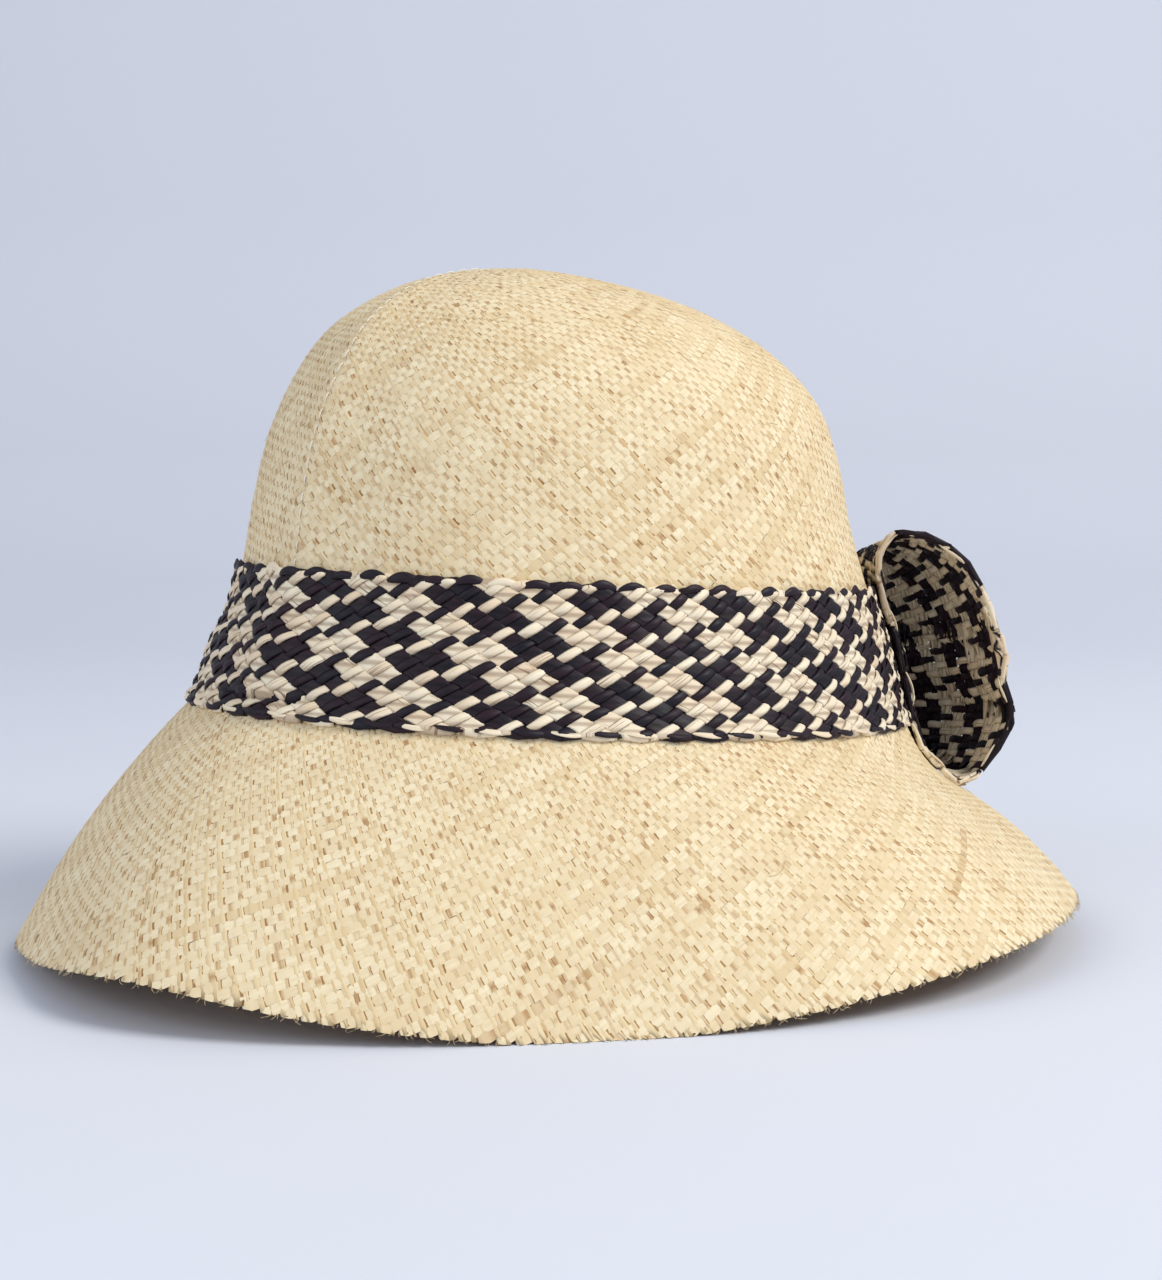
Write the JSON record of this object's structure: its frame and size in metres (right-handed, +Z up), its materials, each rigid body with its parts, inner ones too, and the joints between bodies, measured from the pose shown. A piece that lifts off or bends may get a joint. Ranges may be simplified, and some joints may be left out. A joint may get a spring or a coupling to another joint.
{
  "type": "sun hat",
  "caption": "Woven raffia sun hat with a rounded crown, a wide wavy down-turned brim, a plaited two-tone band and a standing loop of plait at the back.",
  "frame": {"origin": "on the floor under the middle of the hat's overall box: the brim's lowest waves rest at z = 0", "axes": "+Z up; the hat's front faces -Y; the wearer's left is +X"},
  "size_m": [0.2758, 0.3038, 0.1825],
  "materials": {
    "raffia_cloth": "matte woven raffia, natural",
    "plait": "flat raffia strips, black and natural, satin"
  },
  "bodies": {
    "root": {"hat_body": "raffia_cloth", "hat_band": "plait", "bow_loop": "plait"}
  },
  "joints": []
}
